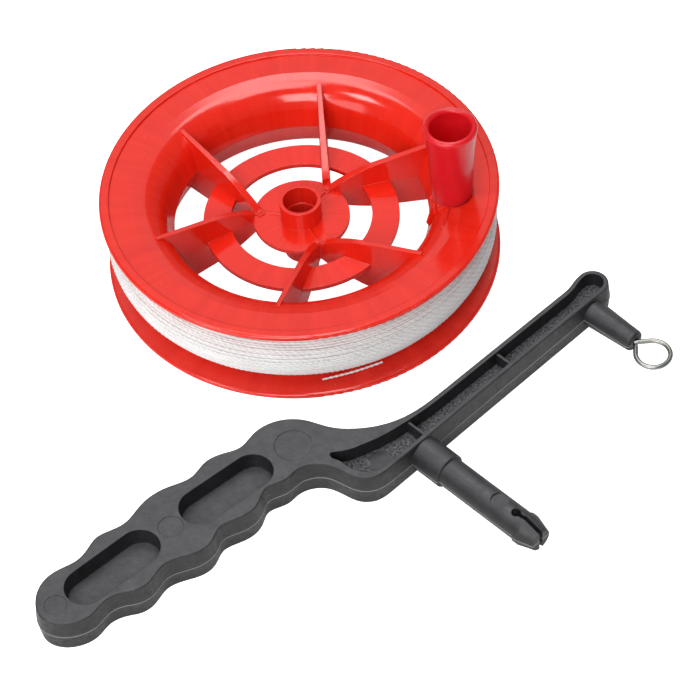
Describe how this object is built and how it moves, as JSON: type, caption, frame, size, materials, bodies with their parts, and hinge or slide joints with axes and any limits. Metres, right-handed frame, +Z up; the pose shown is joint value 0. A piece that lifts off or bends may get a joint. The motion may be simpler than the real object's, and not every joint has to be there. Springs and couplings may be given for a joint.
{
  "type": "kite line winder",
  "caption": "Kite line winder: a red two-piece moulded reel with a crank knob and wound white line, and the black moulded handle whose snap-end axle carries it.",
  "frame": {"origin": "on the ground at the reel's hub axis, in the plane of the reel's back rim", "axes": "+Z up along the hub bore, towards the crank knob; +Y away from the handle; +X to the right"},
  "size_m": [0.3076, 0.334, 0.0904],
  "materials": {
    "red_plastic": "moulded, glossy, slightly translucent",
    "pink_red_plastic": "moulded, glossy",
    "black_plastic": "moulded, semi-gloss",
    "white_line": "twisted twine",
    "zinc_wire": "zinc plated",
    "screw_steel": "zinc plated"
  },
  "bodies": {
    "handle": {"handle": "black_plastic", "screw_eye": "zinc_wire"},
    "reel": {"reel_front_half": "red_plastic", "reel_back_half": "red_plastic", "knob_screw": "screw_steel", "knob_washer": "screw_steel", "line_winding": "white_line", "line_tail": "white_line"},
    "knob": {"crank_knob": "pink_red_plastic"}
  },
  "joints": [
    {"name": "reel_spin", "type": "hinge", "parent": "handle", "child": "reel", "pos_m": [0, 0, 0.02], "axis": [0, 0, 1], "continuous": true},
    {"name": "knob_spin", "type": "hinge", "parent": "reel", "child": "knob", "pos_m": [0.07574, -0.01145, 0.05], "axis": [0, 0, 1], "continuous": true}
  ]
}
